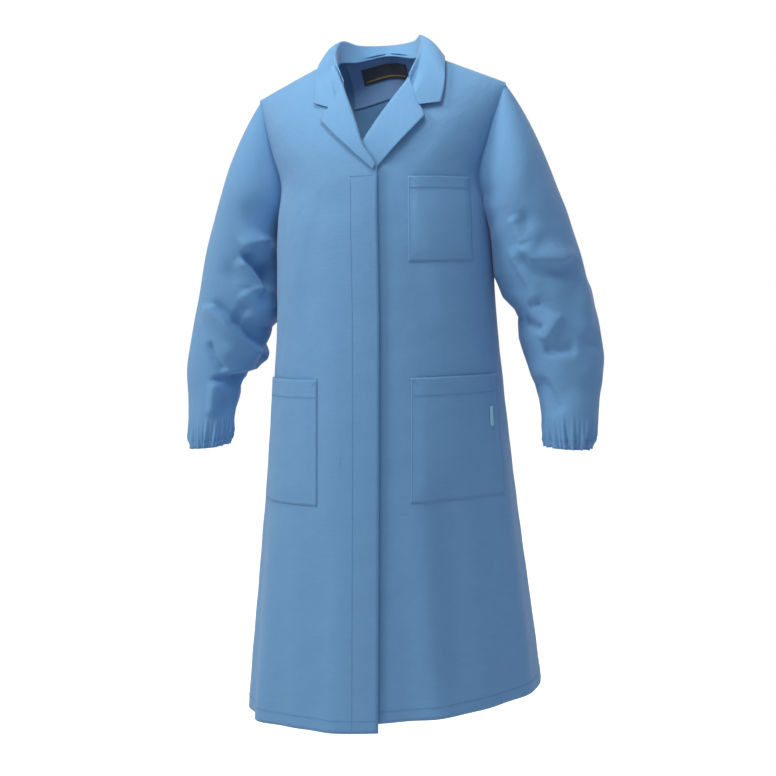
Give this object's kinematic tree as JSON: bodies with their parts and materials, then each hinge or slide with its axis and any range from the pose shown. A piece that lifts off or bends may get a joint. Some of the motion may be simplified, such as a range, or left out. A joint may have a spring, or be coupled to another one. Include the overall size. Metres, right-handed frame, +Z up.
{
  "type": "lab coat",
  "caption": "Knee-length work coat with a notched lapel collar, covered front fly, patch pockets and gathered elastic cuffs, shaped as worn.",
  "frame": {"origin": "midway between the two neck ends of the shoulder line, where the wearer's shoulders or a hanger carry the coat", "axes": "+Z up, the front faces -Y, +X towards the wearer's left"},
  "size_m": [0.6826, 0.3797, 1.0523],
  "materials": {
    "coat_cloth": "light-blue plain-weave polyester and cotton, pressed",
    "facing_cloth": "the same cloth seen on its inner face",
    "stud_steel": "pressed and plated",
    "elastic_braid": "braided elastic",
    "label_tape": "woven satin tape, blank",
    "tag_tape": "woven satin tape, blank"
  },
  "bodies": {
    "torso": {"right_front_chest": "coat_cloth", "left_front_chest": "coat_cloth", "right_back_panel": "coat_cloth", "left_back_panel": "coat_cloth", "right_lapel": "coat_cloth", "left_lapel": "coat_cloth", "collar_stand": "coat_cloth", "collar_fall": "coat_cloth", "back_neck_facing": "facing_cloth", "neck_label": "label_tape", "chest_pocket": "coat_cloth", "fly_strip_upper": "facing_cloth", "left_facing_upper": "facing_cloth", "stud_post_1": "stud_steel", "stud_socket_1": "stud_steel", "right_sleeve_head": "coat_cloth", "left_sleeve_head": "coat_cloth"},
    "right_front": {"right_front_skirt": "coat_cloth", "right_hip_pocket": "coat_cloth", "fly_strip_lower": "facing_cloth", "stud_socket_2": "stud_steel", "stud_socket_3": "stud_steel", "stud_socket_4": "stud_steel", "stud_socket_5": "stud_steel"},
    "left_front": {"left_front_skirt": "coat_cloth", "left_hip_pocket": "coat_cloth", "pocket_tag": "tag_tape", "left_facing_lower": "facing_cloth", "stud_post_2": "stud_steel", "stud_post_3": "stud_steel", "stud_post_4": "stud_steel", "stud_post_5": "stud_steel"},
    "right_sleeve": {"right_sleeve_upper": "coat_cloth", "right_sleeve_elbow": "coat_cloth"},
    "right_forearm": {"right_sleeve_forearm": "coat_cloth", "right_cuff_casing": "coat_cloth", "right_cuff_elastic": "elastic_braid"},
    "left_sleeve": {"left_sleeve_upper": "coat_cloth", "left_sleeve_elbow": "coat_cloth"},
    "left_forearm": {"left_sleeve_forearm": "coat_cloth", "left_cuff_casing": "coat_cloth", "left_cuff_elastic": "elastic_braid"}
  },
  "joints": [
    {"name": "right_front_swing", "type": "hinge", "parent": "torso", "child": "right_front", "pos_m": [-0.1745, 0, -0.33], "axis": [-0.0959, 0, -0.9954], "range_deg": [0, 38]},
    {"name": "left_front_swing", "type": "hinge", "parent": "torso", "child": "left_front", "pos_m": [0.1745, 0, -0.33], "axis": [-0.0959, 0, 0.9954], "range_deg": [0, 19]},
    {"name": "right_shoulder", "type": "hinge", "parent": "torso", "child": "right_sleeve", "pos_m": [-0.19, 0, -0.09], "axis": [0, 1, 0], "range_deg": [0, 40], "deforming": ["right_sleeve_head"]},
    {"name": "right_elbow", "type": "hinge", "parent": "right_sleeve", "child": "right_forearm", "pos_m": [-0.258, 0.013, -0.395], "axis": [-1, 0, 0], "range_deg": [0, 90], "deforming": ["right_sleeve_elbow"]},
    {"name": "left_shoulder", "type": "hinge", "parent": "torso", "child": "left_sleeve", "pos_m": [0.19, 0, -0.09], "axis": [0, -1, 0], "range_deg": [0, 40], "deforming": ["left_sleeve_head"]},
    {"name": "left_elbow", "type": "hinge", "parent": "left_sleeve", "child": "left_forearm", "pos_m": [0.258, 0.013, -0.395], "axis": [-1, 0, 0], "range_deg": [0, 90], "deforming": ["left_sleeve_elbow"]}
  ],
  "couplings": [
    {"joint": "left_front_swing", "follows": "right_front_swing", "ratio": 0.5}
  ]
}
